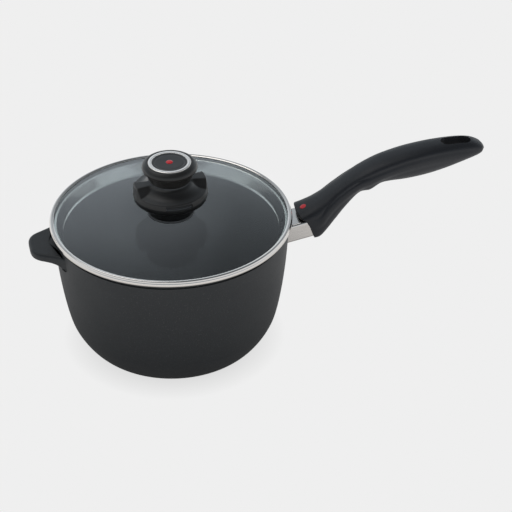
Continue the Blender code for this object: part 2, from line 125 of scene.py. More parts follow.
def sheet_outline(path, thick):
    """A closed outline round a sheet's middle line: the line plus and minus its normal times half
    the thickness, the normal being the line's direction turned a quarter."""
    way = np.gradient(path, axis=0)
    way /= np.linalg.norm(way, axis=1)[:, None]
    normal = np.stack([-way[:, 1], way[:, 0]], 1) * thick / 2
    cap = (path[-1] + way[-1] * thick * 0.35)[None]
    back = (path[0] - way[0] * thick * 0.35)[None]
    return np.vstack([path + normal, cap, (path - normal)[::-1], back])


def smooth_rows(rows, places):
    """Rows of numbers read between stations on the smooth curve through them (Catmull-Rom)."""
    rows = np.array(rows, float)
    held = np.vstack([2 * rows[0] - rows[1], rows, 2 * rows[-1] - rows[-2]])
    i = np.clip(places.astype(int), 0, len(rows) - 2)
    t = (places - i)[:, None]
    a, b, c, d = (held[i + k] for k in range(4))
    square, cube = 2 * a - 5 * b + 4 * c - d, 3 * b - a - 3 * c + d
    return 0.5 * (2 * b + (c - a) * t + square * t**2 + cube * t**3)


def ease(x):
    """0 below 0, 1 above 1, and 3x^2 - 2x^3 between."""
    x = np.clip(x, 0, 1)
    return x * x * (3 - 2 * x)


def ramp(x, softness=0.004):
    """A straight rise from 0 to 1 whose two corners are rounded."""
    return 0.5 * (np.sqrt(x * x + softness) - np.sqrt((x - 1) ** 2 + softness) + 1)


# ---------------------------------------------------------------- surfaces to meshes


def quads(rows, columns, wrap_rows=False, wrap_columns=True):
    """The four-sided faces of a grid of points stored row by row."""
    i = np.arange(rows if wrap_rows else rows - 1)[:, None]
    j = np.arange(columns if wrap_columns else columns - 1)[None, :]
    up, on = (i + 1) % rows * columns, (j + 1) % columns
    return np.stack([i * columns + j, i * columns + on, up + on, up + j], -1).reshape(-1, 4)


def fan(centre, loop):
    """The triangles from one point to each step of a closed loop."""
    return np.stack([np.full(len(loop), centre), loop, np.roll(loop, -1)], 1)


def loft(rings, poles=(None, None), closed=False):
    """Rings (rows, columns, 3) joined in order, with a point closing the first and last ring."""
    rows, columns, _ = rings.shape
    points = [rings.reshape(-1, 3)]
    faces = [quads(rows, columns, wrap_rows=closed)]
    count = rows * columns
    first, last = np.arange(columns), np.arange(count - columns, count)
    if poles[0] is not None:
        points.append(np.array([poles[0]], float))
        faces.append(fan(count, first[::-1]))
        count += 1
    if poles[1] is not None:
        points.append(np.array([poles[1]], float))
        faces.append(fan(count, last))
    return np.vstack(points), faces


def turned(line, sides=TURNS, closed=False):
    """A (radius, z) line turned about Z: (r cos a, r sin a, z). An end on the axis is one point."""
    line = np.array(line, float)
    poles = [None, None]
    for k, end in ((0, 0), (1, -1)):
        if not closed and line[end, 0] < 1e-6:
            poles[k] = (0, 0, line[end, 1])
    body = line[(poles[0] is not None) : len(line) - (poles[1] is not None)]
    a = np.arange(sides) * 2 * pi / sides
    flat = np.stack([np.cos(a), np.sin(a), np.zeros(sides)], 1)
    rings = body[:, 0, None, None] * flat + body[:, 1, None, None] * np.array([0, 0, 1.0])
    return loft(rings, poles, closed)


def moved(shape, matrix):
    """A shape's points carried by a matrix whose lengths are millimetres."""
    points, faces = shape
    m = np.array(matrix)
    return points @ m[:3, :3].T + m[:3, 3], faces


def outward(points, faces):
    """The faces, turned round if the volume they enclose is negative. Its sign is that of the sum
    of p0 . (p1 x p2) over triangles."""
    volume = 0.0
    for f in faces:
        p = points[f]
        for k in range(1, f.shape[1] - 1):
            volume += np.einsum("ij,ij->", p[:, 0], np.cross(p[:, k], p[:, k + 1]))
    return [f[:, ::-1] for f in faces] if volume < 0 else faces


def mesh_of(name, shape, crease):
    """A mesh in metres, smooth except at edges sharper than the crease angle in degrees."""
    points, faces = shape
    faces = outward(points, faces)
    sizes = np.concatenate([np.full(len(f), f.shape[1]) for f in faces])
    loops = np.concatenate([f.ravel() for f in faces]).astype(np.int32)
    mesh = bpy.data.meshes.new(name)
    mesh.vertices.add(len(points))
    mesh.vertices.foreach_set("co", (points * MM).astype(np.float32).ravel())
    mesh.loops.add(len(loops))
    mesh.loops.foreach_set("vertex_index", loops)
    mesh.polygons.add(len(sizes))
    mesh.polygons.foreach_set("loop_start", (np.cumsum(sizes) - sizes).astype(np.int32))
    mesh.update(calc_edges=True)
    mesh.shade_smooth()
    mesh.set_sharp_from_angle(angle=radians(crease))
    return mesh


def add_piece(name, shape, finish, body, stands_for=(), crease=50):
    """Puts a shape in the scene as a piece that rides on a body and stands for CAD nodes."""
    piece = bpy.data.objects.new(name, mesh_of(name, shape, crease))
    bpy.context.scene.collection.objects.link(piece)
    piece.data.materials.append(finish)
    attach(piece, body)
    if stands_for:
        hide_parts(*stands_for)
    return piece


# ---------------------------------------------------------------- node boards


class Board:
    """A node tree with short calls to add nodes, joined to sockets or given plain values."""

    def __init__(self, tree):
        self.tree = tree

    def node(self, kind, inputs=None, **settings):
        made = self.tree.nodes.new(kind)
        for key, value in settings.items():
            setattr(made, key, value)
        for key, value in (inputs or {}).items():
            if isinstance(value, bpy.types.NodeSocket):
                self.tree.links.new(value, made.inputs[key])
            else:
                made.inputs[key].default_value = value
        return made

    def math(self, operation, first, second=0.0, third=0.0, clamp=False):
        values = {0: first, 1: second, 2: third}
        return self.node("ShaderNodeMath", values, operation=operation, use_clamp=clamp).outputs[0]

    def noise(self, vector, scale, detail=2.0, rough=0.5):
        values = {"Vector": vector, "Scale": scale, "Detail": detail, "Roughness": rough}
        return self.node("ShaderNodeTexNoise", values).outputs["Fac"]

    def span(self, value, low, high, to_low=0.0, to_high=1.0):
        values = {"Value": value, "From Min": low, "From Max": high}
        values.update({"To Min": to_low, "To Max": to_high})
        return self.node("ShaderNodeMapRange", values).outputs[0]

    def mix(self, share, first, second):
        values = {0: share, 6: first, 7: second}
        return self.node("ShaderNodeMix", values, data_type="RGBA").outputs[2]

    def group(self, tree, **inputs):
        made = self.node("ShaderNodeGroup", node_tree=tree)
        for key, value in inputs.items():
            socket = made.inputs[key.replace("_", " ")]
            if isinstance(value, bpy.types.NodeSocket):
                self.tree.links.new(value, socket)
            else:
                socket.default_value = value
        return made.outputs


def new_group(name, inputs, outputs):
    """An empty group with named sockets: (name, kind, default) in, (name, kind) out."""
    tree = bpy.data.node_groups.new(name, "ShaderNodeTree")
    for label, kind, value in inputs:
        socket = tree.interface.new_socket(label, in_out="INPUT", socket_type=kind)
        if value is not None:
            socket.default_value = value
    for label, kind in outputs:
        tree.interface.new_socket(label, in_out="OUTPUT", socket_type=kind)
    board = Board(tree)
    return tree, board, board.node("NodeGroupInput").outputs


VECTOR, NUMBER = "NodeSocketVector", "NodeSocketFloat"


def make_grain():
    """Moulded or sprayed grain: coarse noise plus a share of fine noise, and rare bright specks."""
    tree, b, given = new_group(
        "surface_grain",
        [("Place", VECTOR, None), ("Scale", NUMBER, 900.0), ("Fine Share", NUMBER, 0.5)],
        [("Height", NUMBER), ("Specks", NUMBER)],
    )
    coarse = b.noise(given["Place"], given["Scale"], 2.0)
    fine = b.noise(given["Place"], b.math("MULTIPLY", given["Scale"], 2.7), 1.0)
    height = b.math("MULTIPLY_ADD", fine, given["Fine Share"], coarse)
    dots = b.noise(given["Place"], b.math("MULTIPLY", given["Scale"], 1.6), 0.0)
    b.node("NodeGroupOutput", {"Height": height, "Specks": b.span(dots, 0.70, 0.80)})
    return tree


def make_drift():
    """Slow change over a surface, such as handling marks: wide noise read between two levels."""
    tree, b, given = new_group(
        "slow_drift",
        [("Place", VECTOR, None), ("Scale", NUMBER, 30.0), ("Low", NUMBER, 0.0),
         ("High", NUMBER, 1.0)],
        [("Value", NUMBER)],
    )
    wide = b.noise(given["Place"], given["Scale"], 3.0, 0.55)
    b.node("NodeGroupOutput", {"Value": b.span(wide, 0.35, 0.65, given["Low"], given["High"])})
    return tree


def make_turned_lines():
    """Lathe or roller lines: noise read at (distance from Z, 0, height), so that it runs round
    the axis."""
    tree, b, given = new_group(
        "turned_lines",
        [("Place", VECTOR, None), ("Scale", NUMBER, 2500.0)],
        [("Height", NUMBER), ("Radius", NUMBER)],
    )
    parts = b.node("ShaderNodeSeparateXYZ", {0: given["Place"]}).outputs
    flat = b.node("ShaderNodeCombineXYZ", {0: parts[0], 1: parts[1]}).outputs[0]
    radius = b.node("ShaderNodeVectorMath", {0: flat}, operation="LENGTH").outputs["Value"]
    ring = b.node("ShaderNodeCombineXYZ", {0: radius, 2: parts[2]}).outputs[0]
    b.node("NodeGroupOutput", {"Height": b.noise(ring, given["Scale"], 2.0), "Radius": radius})
    return tree


GRAIN, DRIFT, LINES = make_grain(), make_drift(), make_turned_lines()


def start_finish(name, metallic=0.0, **sockets):
    """A material with a Principled shader: its plain numbers go on the shader's own sockets."""
    material = bpy.data.materials.new(name)
    material.use_nodes = True
    board = Board(material.node_tree)
    shader = material.node_tree.nodes["Principled BSDF"]
    shader.inputs["Metallic"].default_value = metallic
    for label, value in sockets.items():
        shader.inputs[label.replace("_", " ")].default_value = value
    place = board.node("ShaderNodeTexCoord").outputs["Object"]
    return material, board, shader, place


def feed(board, shader, colour=None, rough=None, height=None, depth=0.0, strength=1.0, metal=None):
    """Joins worked-out colour, roughness, metal mask and bump height to the shader."""
    join = board.tree.links.new
    if colour is not None:
        join(colour, shader.inputs["Base Color"])
    if rough is not None:
        join(rough, shader.inputs["Roughness"])
    if metal is not None:
        join(metal, shader.inputs["Metallic"])
    if height is not None:
        sizes = {"Height": height, "Distance": depth, "Strength": strength}
        join(board.node("ShaderNodeBump", sizes).outputs[0], shader.inputs["Normal"])


def grey(level, warm=0.0):
    """A near-neutral colour: warm raises red and lowers blue by that share of the level."""
    return (level * (1 + warm), level, level * (1 - warm), 1.0)


GROUND_R, GROUND_UP_TO = 67.5, 0.7  # the base is bare metal within this radius and height


def cast_finish():
    """Sprayed mineral coating on cast aluminium, bare and turned on the ground base."""
    material, b, shader, place = start_finish("cast_coating", IOR=1.42)
    grain = b.group(GRAIN, Place=place, Scale=850.0, Fine_Share=0.6)
    wide = b.group(DRIFT, Place=place, Scale=26.0)["Value"]
    dark, pale = grey(0.0150, -0.08), grey(0.0225, -0.08)
    coat = b.mix(grain["Height"], dark, pale)
    coat = b.mix(b.math("MULTIPLY", grain["Specks"], 0.55), coat, grey(0.075))
    lines = b.group(LINES, Place=place, Scale=1900.0)
    level = b.node("ShaderNodeSeparateXYZ", {0: place}).outputs[2]
    low = b.math("LESS_THAN", level, GROUND_UP_TO * MM)
    bare = b.math("MULTIPLY", low, b.math("LESS_THAN", lines["Radius"], GROUND_R * MM))
    colour = b.mix(bare, coat, b.mix(lines["Height"], grey(0.42), grey(0.62)))
    rough = b.math("MULTIPLY_ADD", wide, 0.05, 0.50)
    rough = b.math("MULTIPLY_ADD", bare, -0.18, rough)
    height = b.math("MULTIPLY_ADD", b.math("MULTIPLY", bare, lines["Height"]), 2.0, grain["Height"])
    feed(b, shader, colour, rough, height, 0.00016, 0.55, bare)
    return material


EVEN = np.array([1.0, 1.0, 1.0])
WARMER = np.array([1.08, 1.0, 0.92])
COOLER = np.array([0.95, 1.0, 1.15])


def moulded_finish(name, level, roughness, scale, depth, tint=EVEN, gloss=0.5):
    """Moulded phenolic: near-black, a little tinted, with fine grain and slow changes of gloss.
    Level and roughness are each a (low, high) pair."""
    material, b, shader, place = start_finish(name, IOR=1.48, Specular_IOR_Level=gloss)
    grain = b.group(GRAIN, Place=place, Scale=scale, Fine_Share=0.5)
    wide = b.group(DRIFT, Place=place, Scale=38.0, Low=roughness[0], High=roughness[1])["Value"]
    colour = b.mix(grain["Height"], (*(level[0] * tint), 1.0), (*(level[1] * tint), 1.0))
    feed(b, shader, colour, wide, grain["Height"], depth, 0.5)
    return material


def steel_finish(name, level, roughness, scale=2600.0, depth=0.00001, warm=0.02):
    """Rolled or turned metal: fine lines round the axis and faint handling marks. Roughness is a
    (low, high) pair."""
    material, b, shader, place = start_finish(name, metallic=1.0)
    lines = b.group(LINES, Place=place, Scale=scale)
    wide = b.group(DRIFT, Place=place, Scale=45.0, Low=roughness[0], High=roughness[1])["Value"]
    rough = b.math("MULTIPLY_ADD", lines["Height"], 0.06, wide)
    colour = b.mix(lines["Height"], grey(level * 0.94, warm), grey(level, warm))
    feed(b, shader, colour, rough, lines["Height"], depth, 0.6)
    return material


def brushed_finish():
    """Steel brushed along the sleeve: noise stretched forty times along the handle's rise."""
    material, b, shader, place = start_finish("sleeve_steel", metallic=1.0)
    tilt = {"Vector": place, "Rotation": (0.0, RISE, 0.0)}
    turn = b.node("ShaderNodeMapping", tilt).outputs[0]
    pull = b.node("ShaderNodeMapping", {"Vector": turn, "Scale": (1 / 40, 1.0, 1.0)}).outputs[0]
    lines = b.noise(pull, 3200.0, 2.0)
    wide = b.group(DRIFT, Place=place, Scale=60.0, Low=0.13, High=0.18)["Value"]
    rough = b.math("MULTIPLY_ADD", lines, 0.10, wide)
    colour = b.mix(lines, grey(0.48, 0.04), grey(0.66, 0.04))
    feed(b, shader, colour, rough, lines, 0.00002, 0.5)
    return material


def glass_finish():
    """Tempered glass, faintly green, with the slightest waviness from the bending mould. Most of
    its shine is on the upper face, as a clear coat there; the lower face adds little."""
    material, b, shader, place = start_finish(
        "lid_glass", IOR=1.28, Transmission_Weight=1.0, Coat_IOR=1.62, Coat_Roughness=0.0
    )
    parts = b.node("ShaderNodeSeparateXYZ", {0: place}).outputs
    flat = b.node("ShaderNodeCombineXYZ", {0: parts[0], 1: parts[1]}).outputs[0]
    radius = b.node("ShaderNodeVectorMath", {0: flat}, operation="LENGTH").outputs["Value"]
    share = b.span(radius, SEAT_R * MM, (SEAT_R + FALL_REACH) * MM)
    drop = b.math("MULTIPLY", b.math("POWER", share, FALL_POWER), GLASS_FALL * MM)
    middle = b.math("SUBTRACT", (GLASS_TOP_Z - GLASS_THICK / 2) * MM, drop)
    outer = b.math("GREATER_THAN", parts[2], middle)
    b.tree.links.new(outer, shader.inputs["Coat Weight"])
    tint = b.group(DRIFT, Place=place, Scale=14.0)["Value"]
    colour = b.mix(tint, (0.90, 0.955, 0.945, 1.0), (0.915, 0.965, 0.955, 1.0))
    rough = b.group(DRIFT, Place=place, Scale=22.0, Low=0.0, High=0.012)["Value"]
    feed(b, shader, colour, rough, b.noise(place, 18.0, 1.0), 0.0001, 0.2)
    return material


def badge_finish():
    """Red enamel under a clear coat, with a faint orange-peel surface."""
    material, b, shader, place = start_finish(
        "badge_red", Coat_Weight=0.3, Coat_Roughness=0.08, Specular_IOR_Level=0.2
    )
    grain = b.group(GRAIN, Place=place, Scale=1800.0, Fine_Share=0.3)
    colour = b.mix(grain["Height"], (0.72, 0.012, 0.02, 1), (0.86, 0.02, 0.03, 1))
    rough = b.group(DRIFT, Place=place, Scale=200.0, Low=0.25, High=0.35)["Value"]
    feed(b, shader, colour, rough, grain["Height"], 0.00001, 0.4)
    return material


COAT = cast_finish()
GRIP = moulded_finish("phenolic", (0.0185, 0.0250), (0.41, 0.48), 1500.0, 0.00006, COOLER, 0.26)
KNOB = moulded_finish(
    "knob_phenolic", (0.0115, 0.0160), (0.34, 0.42), 1700.0, 0.00005, WARMER, 0.45
)
# painted shade: the column's phenolic is kept much darker than the knob's, standing in for the
# shade under the dial
SHADED_COLUMN_PHENOLIC = moulded_finish(
    "column_phenolic", (0.0055, 0.0070), (0.28, 0.36), 1700.0, 0.00001, gloss=0.28
)
DISC = moulded_finish("knob_disc", (0.0240, 0.0300), (0.42, 0.48), 2200.0, 0.00002)
RUBBER = moulded_finish("silicone", (0.060, 0.075), (0.50, 0.58), 1200.0, 0.00002)
STEEL = steel_finish("steel", 0.66, (0.09, 0.14), warm=0.05)
TRIM = steel_finish("trim_steel", 0.90, (0.16, 0.22), warm=0.05)
ZINC = steel_finish("zinc", 0.60, (0.30, 0.40), 1800.0)
BRASS = steel_finish("brass", 0.55, (0.25, 0.32), 2200.0, 0.00001, 0.45)
BRUSHED = brushed_finish()
GLASS = glass_finish()
RED = badge_finish()


# ---------------------------------------------------------------- pan

# The pan's outline as (radius, z): from the base round the foot, then up the side to the rim
FOOT = bezier((69.0, 0.3), (76.0, 1.2), (86.0, 14.0), (91.0, 27.0))
SIDE = bezier((91.0, 27.0), (94.5, 36.0), (101.5, 76.0), (102.4, RIM_Z - 0.8))
OUTSIDE = np.vstack([FOOT, SIDE])
IN_WALL_R = 100.8  # between the pan's bore and its outer face near the rim


def wall_radius(z):
    """The pan's outer radius at a height, read along its outline."""
    return np.interp(z, OUTSIDE[:, 1], OUTSIDE[:, 0])


def pan_shell():
    """The pan's outline turned about Z: ground base, foot, side, a groove under the rounded rim,
    the inner wall and the floor."""
    base = rounded([(0, 0.9, 0), (62, 0.9, 0), (63.0, 0.0, 0.3), (68.2, 0.0, 0.5), (69.0, 0.3, 0)])
    wall = bezier((86.6, 29), (90.5, 40), (98.6, 78), (99.9, RIM_Z - 1.0))
    corner = bezier((64, 6), (72, 6.4), (81.5, 16), (86.6, 29))
    inside = np.vstack([corner, wall])[::-1]
    rim = rounded([
        (102.4, RIM_Z - 0.8, 0), (102.3, RIM_Z, 0.9), (100.0, RIM_Z, 0.9), (99.9, RIM_Z - 1.0, 0),
    ])
    floor = stepped(np.array([(64.0, 6.0), (0.0, 6.0)]))
    side = stepped(OUTSIDE)
    side = side[side[:, 1] < RIM_Z - 3.4]
    groove = rounded([
        (102.3, RIM_Z - 3.2, 0), (101.1, RIM_Z - 2.9, 0.2), (101.1, RIM_Z - 1.7, 0.2),
        (102.4, RIM_Z - 1.4, 0.2), (102.4, RIM_Z - 0.8, 0),
    ])
    return turned(np.vstack([base, side, groove, rim[1:], inside[1:], floor]))


def helper_lug():
    """A cast tab. Its flat outline is followed in rings: each ring is the outline moved in by
    d = r(1 - cos q) and up by r sin q round the edge, then drawn in to the middle. Its root
    stays inside the pan's wall. Near the wall the underside sinks as depth exp(-distance /
    reach), which makes the cast fillet."""
    top, low = 112.4, 105.1
    fillet_depth, fillet_reach = 7.0, 4.0
    half = np.vstack([
        [(-97.0, 30.0)],
        bezier((-97.0, 30.0), (-103.0, 25.4), (-108.0, 23.2), (-116.0, 19.0), 18),
        bezier((-116.0, 19.0), (-120.6, 16.5), (-124.1, 12.6), (-124.35, 5.2), 18),
    ])
    outline = stepped(np.vstack([half, (half * [1, -1])[::-1], half[:1]]), 1.2)[:-1]
    way = np.gradient(outline, axis=0)
    way /= np.linalg.norm(way, axis=1)[:, None]
    inward = np.stack([way[:, 1], -way[:, 0]], 1)
    middle = np.array([-108.0, 0.0])
    inward *= np.sign(np.einsum("ij,ij->i", inward, middle - outline))[:, None]
    edge, mid = 2.7, (top + low) / 2
    turn = np.linspace(pi / 2, -pi / 2, 17)
    rings = []
    for q in turn:
        flat = outline + inward * edge * (1 - cos(q))
        lift = np.sign(sin(q)) * ((top - low) / 2 - edge) + edge * sin(q)
        rings.append(np.column_stack([flat, np.full(len(flat), mid + lift)]))
    for share in (0.9, 0.75, 0.5, 0.25):
        flat = rings[0][:, :2] * share + middle * (1 - share)
        rings.insert(0, np.column_stack([flat, np.full(len(flat), top)]))
        flat = outline * share + middle * (1 - share) + inward * edge * share
        rings.append(np.column_stack([flat, np.full(len(flat), low)]))
    rings = np.array(rings)
    radius = np.hypot(rings[..., 0], rings[..., 1])
    rings[..., :2] *= (np.maximum(radius, IN_WALL_R) / radius)[..., None]
    gap = np.clip(np.maximum(radius, IN_WALL_R) - wall_radius(rings[..., 2]), 0, None)
    underside = ease((mid + 1.5 - rings[..., 2]) / 4.0)
    rings[..., 2] -= fillet_depth * np.exp(-gap / fillet_reach) * underside
    return loft(rings, ((*middle, top), (*middle, rings[-1, :, 2].mean())))


# ---------------------------------------------------------------- handle

SLEEVE_X, SLEEVE_Z = 104.8, 97.7  # where the sleeve's axis starts, at the pan's wall
SLEEVE_HALF, SLEEVE_INNER = (14.0, 8.5), (13.0, 7.5)  # half its width and height
SOCKET_HALF, SOCKET_ROUND = (14.3, 8.8), 2.1  # the opening for it in the grip
SLEEVE_END, SOCKET_END = 21.2, 21.6  # how far each reaches along the axis
BOSS_HALF, BOSS_BORE_R = (12.6, 7.1), 4.5
WALL_GAP = 0.4  # from the pan's wall to the sleeve's cut end
AXIS = np.array([cos(RISE), 0.0, sin(RISE)])
LIFT = np.array([-sin(RISE), 0.0, cos(RISE)])
START = np.array([SLEEVE_X, 0.0, SLEEVE_Z])


def square_ring(half, angles, edge=SLEEVE_ROUND):
    """(side, height) on a box with rounded edges, in the given directions: the nearer of the two
    flat sides, or where a corner's quarter circle |p - c| = edge is met."""
    way = np.stack([np.cos(angles), np.sin(angles)], 1)
    flat = 1 / np.maximum(np.abs(way[:, 0]) / half[0], np.abs(way[:, 1]) / half[1])
    centre = np.sign(way) * (np.array(half) - edge)
    along = np.einsum("ij,ij->i", way, centre)
    inside = np.maximum(along**2 - np.einsum("ij,ij->i", centre, centre) + edge**2, 0)
    corner = along + np.sqrt(inside)
    at = np.abs(way * flat[:, None]) > np.abs(centre)
    return way * np.where(at.all(1), corner, flat)[:, None]


def along_sleeve(ring, distance):
    """Points of a (side, height) ring set the given distances along the sleeve's axis."""
    distance = np.broadcast_to(np.asarray(distance, float), len(ring))
    side = np.outer(ring[:, 0], [0, 1.0, 0])
    return START + distance[:, None] * AXIS + side + ring[:, 1, None] * LIFT


def wall_distance(ring, clear):
    """How far along the axis each ring point leaves the pan's wall, by halving an interval."""
    low, high = np.full(len(ring), -14.0), np.full(len(ring), 8.0)
    for _ in range(30):
        mid = (low + high) / 2
        p = along_sleeve(ring, mid)
        inside = np.hypot(p[:, 0], p[:, 1]) < wall_radius(p[:, 2]) + clear
        low, high = np.where(inside, mid, low), np.where(inside, high, mid)
    return high


def ring_angles(half, count=200):
    """Directions that space points round a rounded box by its length plus its turning, so that
    the corners get most of them."""
    fine = np.linspace(0, 2 * pi, 8001)
    step = np.diff(square_ring(half, fine), axis=0)
    heading = np.unwrap(np.arctan2(step[:, 1], step[:, 0]))
    turn = np.abs(np.diff(heading, append=heading[-1]))
    run = np.concatenate([[0], np.cumsum(np.linalg.norm(step, axis=1) + 12.0 * turn)])
    return np.interp(np.linspace(0, run[-1], count + 1)[:-1], run, fine)


def sleeve_tube():
    """A squared tube: rings carried along the axis from the pan's wall to the grip and back
    inside."""
    angles = ring_angles(SLEEVE_HALF)
    outer, inner = square_ring(SLEEVE_HALF, angles), square_ring(SLEEVE_INNER, angles, 1.0)
    near, near_in = wall_distance(outer, WALL_GAP), wall_distance(inner, WALL_GAP)
    shares = np.linspace(0, 1, 22)
    broken = [1 - 0.012 * (s == 0) for s in shares]  # the cut end's edge is a little broken
    rings = [
        along_sleeve(outer * e, near + (SLEEVE_END - near) * s) for e, s in zip(broken, shares)
    ]
    rings += [along_sleeve(inner, near_in + (SLEEVE_END - near_in) * s) for s in shares[::-1]]
    return loft(np.array(rings), closed=True)


def boss_block():
    """The cast boss inside the sleeve: rings of a squared bar out along the axis, then rings of
    its round bore back in."""
    root, face, blind = -6.0, 8.0, -0.5  # along the axis: in the wall, its end, the bore's end
    angles = ring_angles(SLEEVE_HALF)
    outer = square_ring(BOSS_HALF, angles)
    bore = BOSS_BORE_R * np.stack([np.cos(angles), np.sin(angles)], 1)
    rings = [along_sleeve(outer, d) for d in (root, 0, face - 0.8)]
    rings += [along_sleeve(outer * [0.95, 0.92], face), along_sleeve(bore * 1.08, face)]
    rings += [along_sleeve(bore, face - 0.4), along_sleeve(bore, blind)]
    centre = np.zeros((1, 2))
    return loft(np.array(rings), (along_sleeve(centre, root)[0], along_sleeve(centre, blind)[0]))


# Top x, z, bottom x, z, half width, rise of the crown, squareness of the belly and of the crown
GRIP_STATIONS = (
    (112.3, 114.2, 127.2, 89.8, 16.2, 7.0, 6.0, 3.4),
    (120.2, 117.3, 131.8, 90.4, 16.2, 9.0, 5.0, 3.2),
    (128.4, 121.3, 137.8, 95.0, 15.8, 10.0, 3.6, 2.9),
    (138.0, 127.3, 146.6, 104.4, 14.7, 7.8, 2.8, 2.6),
    (149.4, 135.3, 157.0, 116.8, 13.7, 6.2, 2.5, 2.45),
    (163.4, 144.9, 167.6, 127.5, 13.2, 5.8, 2.4, 2.4),
    (174.6, 151.0, 177.8, 128.4, 13.2, 5.8, 2.4, 2.4),
    (185.6, 155.6, 186.8, 133.9, 13.4, 5.8, 2.4, 2.45),
    (197.0, 158.9, 195.6, 135.0, 13.6, 5.8, 2.4, 2.5),
    (212.0, 162.3, 209.6, 134.9, 13.6, 5.8, 2.4, 2.5),
    (230.0, 165.0, 227.4, 136.6, 13.2, 6.2, 2.4, 2.5),
    (246.0, 166.2, 244.6, 140.5, 12.7, 6.4, 2.5, 2.5),
    (260.0, 166.4, 260.0, 145.5, 11.9, 6.4, 2.6, 2.5),
    (271.0, 165.2, 271.8, 149.2, 10.5, 5.4, 2.5, 2.4),
    (278.4, 162.3, 279.2, 152.2, 8.2, 3.8, 2.4, 2.3),
    (281.9, 159.4, 282.2, 155.0, 4.6, 1.8, 2.2, 2.2),
)
# Station, degrees round the section from the far side, height of the shoulder
CREASE_TURN = (
    (0.0, 172, 0.5), (0.6, 172, 0.9), (1.5, 170, 1.0), (2.0, 166, 1.1), (2.5, 152, 1.2),
    (3.0, 141, 1.3), (3.6, 134, 1.3), (4.4, 134, 1.3), (5.0, 142, 1.2), (5.5, 153, 1.1),
    (6.0, 163, 1.0), (7.0, 172, 0.9), (8.0, 172, 0.8), (9.0, 169, 0.7), (10.0, 168, 0.55),
    (11.0, 165, 0.4), (12.0, 167, 0.3), (13.0, 171, 0.2), (15.0, 172, 0.0),
)
# Degrees round the section from its crown, stations that the front edge is set back
COLLAR_CUT = (
    (0, 0.0), (10, 0.02), (30, 0.06), (50, 0.14), (70, 0.24), (80, 0.34), (90, 0.42), (100, 0.24),
    (110, 0.12), (120, 0.05), (135, 0.0), (180, 0.0),
)
COLLAR_REACH = 3  # stations over which the sections behind the front edge close up
CREASE_OFFSET = 1.9  # how far past the angles of CREASE_TURN the crease lies
FAR_SHOULDER = 0.5  # the far side's shoulder is this much of the near side's


def grip_grid(places, turns):
    """Sections of |side/a|^n + |height/b|^n = 1, with one b and n over the waist and others
    under it, each in the plane of its station, lofted along the smooth curve through the
    stations. The first rows start at the collar's cut and close up to the rest behind it."""
    table = np.array(COLLAR_CUT)
    from_crown = np.degrees(np.abs((turns - pi / 2 + pi) % (2 * pi) - pi))
    cut = np.interp(from_crown, table[:, 0], table[:, 1])
    fade = np.clip(1 - places[:, None] / COLLAR_REACH, 0, 1) ** 2
    spread = places[:, None] + cut[None, :] * fade
    rows = smooth_rows(GRIP_STATIONS, spread.ravel()).reshape(*spread.shape, -1)
    top_x, top_z, low_x, low_z, half, crown, belly, dome = np.moveaxis(rows, 2, 0)
    low = np.stack([low_x, 0 * low_x, low_z], -1)
    up = np.stack([top_x, 0 * top_x, top_z], -1) - low
    tall = np.linalg.norm(up, axis=2)
    c, s = np.cos(turns)[None, :], np.sin(turns)[None, :]
    power = np.where(s > 0, 2 / dome, 2 / belly)
    waist = tall - crown
    side = half * np.abs(c) ** power * np.sign(c)
    height = waist + np.where(s > 0, crown, waist) * np.abs(s) ** power * np.sign(s)
    return low + up * (height / tall)[..., None] + side[..., None] * np.array([0, 1.0, 0])


def shoulder(grid, turns, places):
    """Moves the grip's surface along its normal by height times a crease, -0.6 exp(-(s/1.8)^2),
    and a shoulder that rises over 3.6 mm and dies away by 10.8, where s is the distance round
    the section past the crease."""
    run = np.linalg.norm(np.roll(grid, -1, 1) - grid, axis=2)
    run = np.cumsum(run, 1) - run
    top = len(turns) // 4
    table = np.array(CREASE_TURN)
    where = np.radians(np.interp(places, table[:, 0], table[:, 1]))
    height = np.interp(places, table[:, 0], table[:, 2])[:, None]
    mark = np.array([np.interp(w, turns, r) for w, r in zip(where, run)]) - run[:, top]
    full = run[:, -1] + np.linalg.norm(grid[:, 0] - grid[:, -1], axis=1)
    away = np.abs(run - run[:, top, None])
    away = np.minimum(away, full[:, None] - away)
    s = away - mark[:, None] - CREASE_OFFSET
    rise = ease(s / 3.6 + 0.2) * (1 - ease((s - 4.8) / 6.0))
    push = height * (1.05 * rise - 0.6 * np.exp(-((s / 1.8) ** 2)))
    push *= np.where(np.cos(turns) > 0, FAR_SHOULDER, 1.0)[None]
    along = np.gradient(grid, axis=0)
    around = np.roll(grid, -1, 1) - np.roll(grid, 1, 1)
    normal = np.cross(around, along)
    normal /= np.linalg.norm(normal, axis=2)[..., None] + 1e-9
    centre = grid.mean(1, keepdims=True)
    normal *= np.sign(np.einsum("ijk,ijk->ij", normal, grid - centre))[..., None]
    return grid + normal * push[..., None]


